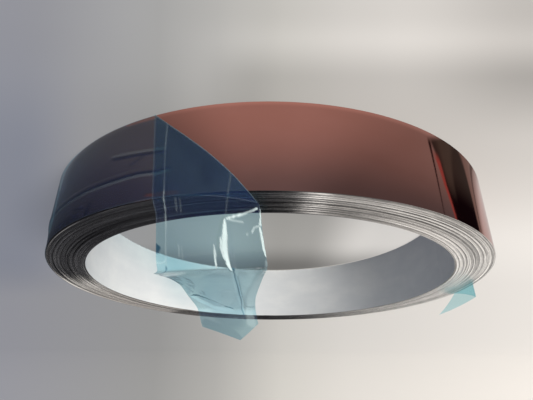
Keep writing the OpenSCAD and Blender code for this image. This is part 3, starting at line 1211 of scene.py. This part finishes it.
# Painted shade beside the ridges of the stuck film and along its upper edge.
STUCK_DARK_AND_SHADE = [
    (0.70, ridge(LONG_RIDGE, 0, 1.2)),
    (0.50, ridge(SHORT_RIDGE, 0, 1.2)),
    (0.35, [(26.2, 38.8, 1.0), (23.2, 32.9, 1.0)]),
    (0.60, [(36.6, 67, 2.2), (35.8, 60, 1.2)]),
    (0.45, [(42, 58.1, 1.0), (37.9, 61.2, 1.0)]),
    (0.25, [(40, 66, 4), (60, 64, 6), (80, 64, 6)]),
    (0.80, [(24, 69.4, 0.7), (45, 69.2, 1.0), (95, 69.2, 1.0)]),
]
# Painted highlights on the other flank of the ridges, and one small white spot.
STUCK_WHITE_AND_HIGHLIGHTS = [
    (0.05, ridge(LONG_RIDGE, 2.2, 1.4)),
    (0.05, ridge(SHORT_RIDGE, -2.2, 1.4)),
    (0.25, [(14.0, 1.6, 0.8), (16.5, 1.4, 1.2)]),
]
STUCK_RELIEF = [
    (0.5, ridge(LONG_RIDGE, -1.0, 3.0)),
    (0.4, ridge(SHORT_RIDGE, -1.0, 3.0)),
]
print("lines on the stuck part:", len(STUCK_DARK_AND_SHADE + STUCK_WHITE_AND_HIGHLIGHTS + STUCK_RELIEF))

# %% [markdown]
# The nearest piece of each line decides how strong a crease is at a vertex. Each piece
# keeps the box that it can reach, so most vertices pass it by.


# %% Strength of the creases at a place
def pieces_of(lines, unit):
    """Straight pieces of the lines, with the box that each can reach."""
    pieces = []
    for strength, points in lines:
        for (u0, v0, w0), (u1, v1, w1) in zip(points, points[1:]):
            start = Vector((u0 * unit, v0))
            end = Vector((u1 * unit, v1))
            reach = max(w0, w1)
            low = (min(start.x, end.x) - reach, min(start.y, end.y) - reach)
            high = (max(start.x, end.x) + reach, max(start.y, end.y) + reach)
            pieces.append((low, high, start, end - start, w0, w1, strength))
    return pieces


def crease_at(pieces, u, v):
    """The value of the strongest piece at this place, positive or negative."""
    best = 0.0
    for low, high, start, run, w0, w1, strength in pieces:
        if u < low[0] or u > high[0] or v < low[1] or v > high[1]:
            continue
        offset = Vector((u, v)) - start
        t = min(1, max(0, offset.dot(run) / run.length_squared))
        distance = (offset - run * t).length / (w0 + (w1 - w0) * t)
        value = strength * min(1, 1.6 * (1 - distance * distance)) if distance < 1 else 0
        if abs(value) > abs(best):
            best = value
    return best


FLAP_UNIT = FILM_WIDTH
STUCK_UNIT = math.radians(1) * OUTER_RADIUS
flap_white_and_highlight = pieces_of(WHITE_CREASES_AND_HIGHLIGHTS + SHEEN_FACETS + wrinkle_highlights, FLAP_UNIT)
flap_dark_and_shade = pieces_of(DARK_CREASES_AND_SHADE + wrinkle_shades, FLAP_UNIT)
flap_relief = pieces_of(FLAP_RELIEF, FLAP_UNIT)
stuck_white_and_highlight = pieces_of(STUCK_WHITE_AND_HIGHLIGHTS, STUCK_UNIT)
stuck_dark_and_shade = pieces_of(STUCK_DARK_AND_SHADE, STUCK_UNIT)
stuck_relief = pieces_of(STUCK_RELIEF, STUCK_UNIT)
bare = pieces_of(BARE_PLACES, STUCK_UNIT)
print("pieces of creases:", len(flap_white_and_highlight + flap_dark_and_shade + stuck_white_and_highlight + stuck_dark_and_shade))

# %% [markdown]
# ### Cut the sheet and fold it
# The grid has one row of faces after another along the sheet, and each stretch of the
# film takes a number of them. Every vertex is moved to its place, and then a little along
# its normal where a crease stands up. The strength of its creases is kept on the vertex,
# so that the material can read it.

# %% Cut the sheet and fold it
STRETCHES = (
    ("point", 44),
    ("end_fold", 4),
    ("loose", 20),
    ("stuck", 300),
    ("peel_fold", 4),
    ("flap", 420),
)
ROWS = sum(count for name, count in STRETCHES)
FIBRES = 120
FOLD_WHITE = 0.10
EDGE_WHITE = 0.04
EDGE_BAND = 0.9


def stretch_at(row):
    """The stretch of the sheet that a row lies in, and how far along it, from 0 to 1."""
    for name, count in STRETCHES:
        if row <= count:
            return name, row / count
        row -= count


def sheet_vertex(row, share):
    """Place, relief along the normal, and how white, dark and bare one vertex is."""
    name, progress = stretch_at(row)
    if name == "point":
        return point_place(progress, share), 0.0, (0.0, 0.0, 0.0)
    if name == "end_fold":
        return end_fold_place(progress, share), 0.0, (FOLD_WHITE, 0.0, 0.0)
    if name == "peel_fold":
        return peel_fold_place(progress, share), 0.0, (FOLD_WHITE, 0.0, 0.0)
    edge = EDGE_WHITE if min(share, 1 - share) * FILM_WIDTH < EDGE_BAND else 0.0
    if name == "flap":
        reach = fold_height(share) + (flap_end(share) - fold_height(share)) * progress
        u, v = share * FLAP_UNIT, reach - STRIP_WIDTH
        marked = (max(edge, crease_at(flap_white_and_highlight, u, v)), crease_at(flap_dark_and_shade, u, v), 0.0)
        return flap_place(reach, share), crease_at(flap_relief, u, v), marked
    arc = FILM_END - LOOSE_END * progress if name == "loose" else stuck_arc(progress, share)
    u, v = arc, fibre_height(share)
    white = max(edge, crease_at(stuck_white_and_highlight, u, v))
    marked = (white, crease_at(stuck_dark_and_shade, u, v), crease_at(bare, u, v))
    ridge_out = outward(arc) * crease_at(stuck_relief, u, v)
    return stuck_place(arc, share) + ridge_out, 0.0, marked


def fold_sheet():
    mesh = bmesh.new()
    bmesh.ops.create_grid(mesh, x_segments=ROWS, y_segments=FIBRES, size=0.5)
    marks = mesh.verts.layers.float_vector.new("marks")
    reliefs = []
    for vertex in mesh.verts:
        row = round((vertex.co.x + 0.5) * ROWS)
        place, relief, marked = sheet_vertex(row, vertex.co.y + 0.5)
        vertex.co = place * MM
        vertex[marks] = marked
        reliefs.append(relief)
    mesh.normal_update()
    for vertex, relief in zip(mesh.verts, reliefs):
        vertex.co += vertex.normal * relief * MM
    return mesh


film = finish_mesh(fold_sheet(), "protective_film_sheet")
print("film has", len(film.data.polygons), "faces")

# %% [markdown]
# ### Finish of the film
# The film is thin clear blue plastic. Transmission would bend the light as in solid glass,
# but light goes straight through a sheet this thin and comes out tinted, so a Transparent
# shader carries the tint, and two layers give a deeper blue. Painted shade mixes in a darker
# clear shader, and whitened creases and painted highlights mix in a white one. A glossy
# shader lies over it all, stronger where the surface is seen at a slant.

# %% Film finish
FILM_TINT = (0.595, 0.845, 0.885, 1)
# The tint of the painted shade.
DARK_TINT_AND_SHADE = (0.08, 0.26, 0.36, 1)
FILM_HAZE = (0.22, 0.27, 0.95, 1)
# The white of whitened creases and of painted highlights.
CREASE_WHITE_AND_HIGHLIGHT = (0.55, 0.67, 0.69, 1)
HAZE_SHARE = 0.022
FILM_ROUGHNESS = 0.10
LEAST_SHINE = 0.03
SLANT_SHINE = 0.8


def film_material():
    material, flow, output = new_material("clear_blue_film")
    place = flow.object_place()
    marks = flow.node("ShaderNodeAttribute", {"attribute_name": "marks"}, output=1)
    # White holds whitened creases and painted highlights, and dark holds painted shade.
    white, dark, uncovered = marks.axis(0), marks.axis(1), marks.axis(2)
    ripple = flow.noise(place, 55.0, 3.0, 0.55)
    bump = flow.bump(ripple, 0.15, 1 * MM)
    facing = flow.node("ShaderNodeLayerWeight", None, {"Blend": 0.5, "Normal": bump}, output=1)
    clear = flow.node("ShaderNodeBsdfTransparent", None, {"Color": FILM_TINT})
    darker_and_shade = flow.node("ShaderNodeBsdfTransparent", None, {"Color": DARK_TINT_AND_SHADE})
    nothing = flow.node("ShaderNodeBsdfTransparent", None, {"Color": (1, 1, 1, 1)})
    haze = flow.node("ShaderNodeBsdfDiffuse", None, {"Color": FILM_HAZE, "Normal": bump})
    frost_and_highlight = flow.node("ShaderNodeBsdfDiffuse", None, {"Color": CREASE_WHITE_AND_HIGHLIGHT})
    gloss = flow.node("ShaderNodeBsdfGlossy", None, {"Roughness": FILM_ROUGHNESS, "Normal": bump})
    body = flow.mix_shaders(dark, clear, darker_and_shade)
    body = flow.mix_shaders(HAZE_SHARE, body, haze)
    body = flow.mix_shaders(white, body, frost_and_highlight)
    shine = LEAST_SHINE + facing**5 * SLANT_SHINE
    surface = flow.mix_shaders(shine, body, gloss)
    surface = flow.mix_shaders(uncovered, surface, nothing)
    return finish_material(material, flow, output, surface)


film.data.materials.append(film_material())
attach(film, "root")
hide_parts("protective_film")

# %% [markdown]
# The flat sheet is as long as its stretches together, each at its longest. Both ends are
# cut at a slant, so its area is less than length times width, and it is added up fibre by
# fibre.

# %% Flat size of the film
FILM_LENGTH = POINT_LENGTH + FILM_END - PEEL_ARC + FLAP_LENGTH


def fibre_length(share):
    stuck = FILM_END - fold_arc(share)
    free = flap_end(share) - fold_height(share)
    return point_reach(share) + stuck + free


shares = [(k + 0.5) / FIBRES for k in range(FIBRES)]
film_area = FILM_WIDTH * sum(fibre_length(share) for share in shares) / FIBRES
FILM_WIDTH * MM
FILM_LENGTH * MM
film_area * MM * MM
print("film is", round(FILM_LENGTH), "mm long when flat")
print("and its area is", round(film_area * MM * MM, 4), "square metres")
